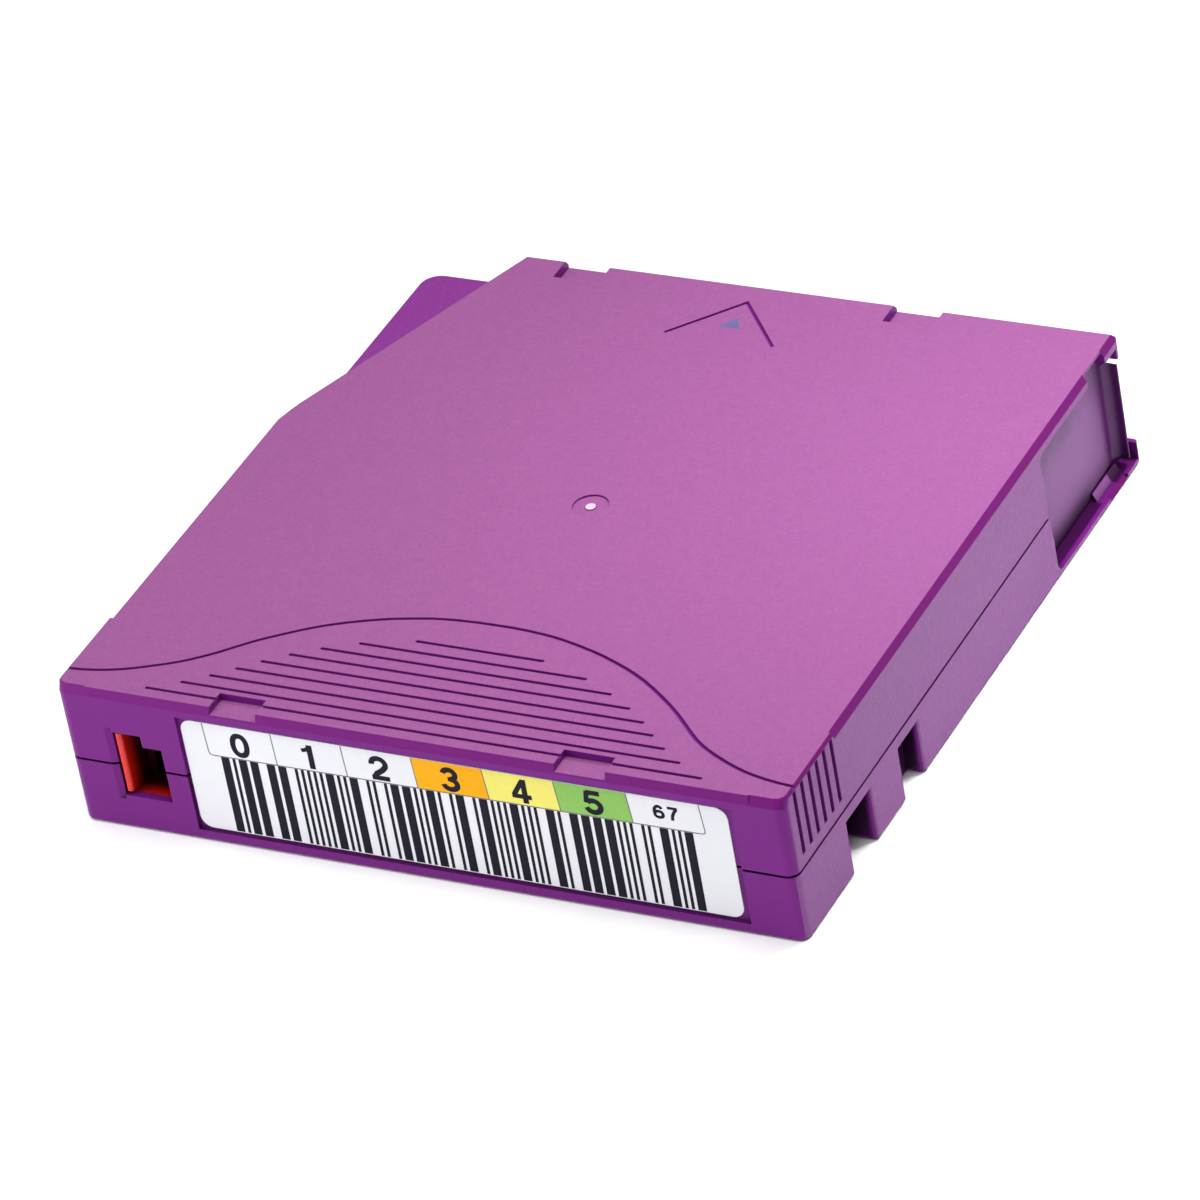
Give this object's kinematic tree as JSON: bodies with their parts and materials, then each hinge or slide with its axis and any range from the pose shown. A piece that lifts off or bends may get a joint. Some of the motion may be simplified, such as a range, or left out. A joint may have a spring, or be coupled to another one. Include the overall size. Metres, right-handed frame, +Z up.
{
  "type": "magnetic tape data cartridge",
  "caption": "Flat square tape cartridge: two shells, coded paper label, sliding corner door, toothed reel with brake, leader pin and write-protect slider.",
  "frame": {"origin": "centre of the bounding box on the underside, on the plane the cartridge lies on", "axes": "+X to the right when facing the label, +Y the way the cartridge goes into a drive (away from the label), +Z up through the top face"},
  "size_m": [0.102, 0.1054, 0.0215],
  "materials": {
    "shell_lower": "moulded purple plastic, fine texture",
    "shell_upper": "moulded purple plastic, finely grained top",
    "door_plastic": "moulded purple plastic",
    "spring_steel": "bright spring wire and strip",
    "reel_plastic": "moulded pale grey filled plastic",
    "flange_plastic": "thin pale grey moulded disc",
    "plate_steel": "stamped steel",
    "tape_film": "dark brown-black polished tape edges",
    "pin_steel": "ground steel",
    "clamp_plastic": "natural white plastic",
    "brake_plastic": "black filled plastic",
    "pad_plastic": "off-white low-friction plastic",
    "tab_plastic": "red moulded plastic",
    "chip_board": "green board",
    "chip_cover": "black encapsulation",
    "label_paper": "white coated label with coloured fields and bars",
    "screw_steel": "zinc-plated steel"
  },
  "bodies": {
    "case": {"lower_shell": "shell_lower", "upper_shell": "shell_upper", "door_spring": "spring_steel", "tape_lead": "tape_film", "leader_pin": "pin_steel", "leader_pin_clamp": "clamp_plastic", "pin_spring_lower": "spring_steel", "pin_spring_upper": "spring_steel", "brake_spring": "spring_steel", "memory_chip": "chip_board", "memory_chip_cover": "chip_cover", "barcode_label": "label_paper", "case_screws": "screw_steel"},
    "door": {"door": "door_plastic"},
    "reel": {"reel_hub": "reel_plastic", "reel_upper_flange": "flange_plastic", "reel_plate": "plate_steel", "tape_pack": "tape_film"},
    "brake": {"brake_plate": "brake_plastic"},
    "release": {"release_pad": "pad_plastic"},
    "write_protect": {"write_protect_tab": "tab_plastic"}
  },
  "joints": [
    {"name": "door_slide", "type": "slide", "parent": "case", "child": "door", "axis": [0, -1, 0], "range_m": [0, 0.0135], "stiffness_N_per_m": 40, "springref_m": -0.008, "deforming": ["door_spring"]},
    {"name": "reel_spin", "type": "hinge", "parent": "case", "child": "reel", "pos_m": [0, -0.001, 0], "axis": [0, 0, 1], "continuous": true},
    {"name": "brake_lift", "type": "slide", "parent": "case", "child": "brake", "axis": [0, 0, 1], "range_m": [0, 0.0018], "stiffness_N_per_m": 800, "springref_m": -0.002, "deforming": ["brake_spring"]},
    {"name": "pad_lift", "type": "slide", "parent": "reel", "child": "release", "axis": [0, 0, 1], "range_m": [0, 0.0018]},
    {"name": "write_protect_slide", "type": "slide", "parent": "case", "child": "write_protect", "axis": [1, 0, 0], "range_m": [0, 0.003]}
  ],
  "couplings": [
    {"joint": "pad_lift", "follows": "brake_lift", "ratio": 1}
  ]
}
